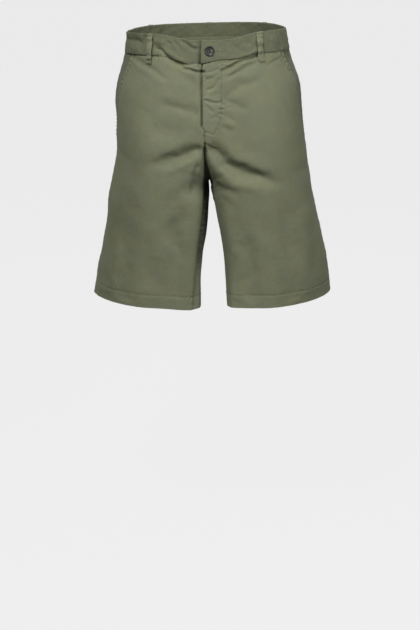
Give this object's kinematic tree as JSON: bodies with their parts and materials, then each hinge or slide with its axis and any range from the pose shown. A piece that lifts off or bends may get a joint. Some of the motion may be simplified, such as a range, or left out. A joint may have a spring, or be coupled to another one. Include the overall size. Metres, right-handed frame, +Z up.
{
  "type": "chino shorts",
  "caption": "Knee-length chino shorts in plain cotton twill, with a buttoned waistband, fly, slanted pockets and belt loops, in their hollow worn form.",
  "frame": {"origin": "middle of the waist, half way up the waistband, where the wearer's waist holds the garment", "axes": "+Z up, the front faces -Y, +X towards the wearer's left"},
  "size_m": [0.474, 0.2638, 0.5265],
  "materials": {
    "twill": "garment-dyed cotton twill, olive green, matt with a faint dry sheen",
    "band_twill": "the same twill, doubled and interfaced, slightly puckered along its seams",
    "loop_twill": "the same twill, folded into narrow strips and edge-stitched",
    "facing_twill": "the same twill, a little greyer where it is worn less",
    "button_resin": "dark grey resin with a satin rim"
  },
  "bodies": {
    "root": {"front_right": "twill", "front_left": "twill", "back_right": "twill", "back_left": "twill", "waistband": "band_twill", "fly_facing": "facing_twill", "pocket_facing_right": "facing_twill", "pocket_facing_left": "facing_twill", "belt_loop_front_right": "loop_twill", "belt_loop_back_right": "loop_twill", "belt_loop_centre_back": "loop_twill", "belt_loop_back_left": "loop_twill", "belt_loop_front_left": "loop_twill", "button": "button_resin"}
  },
  "joints": []
}
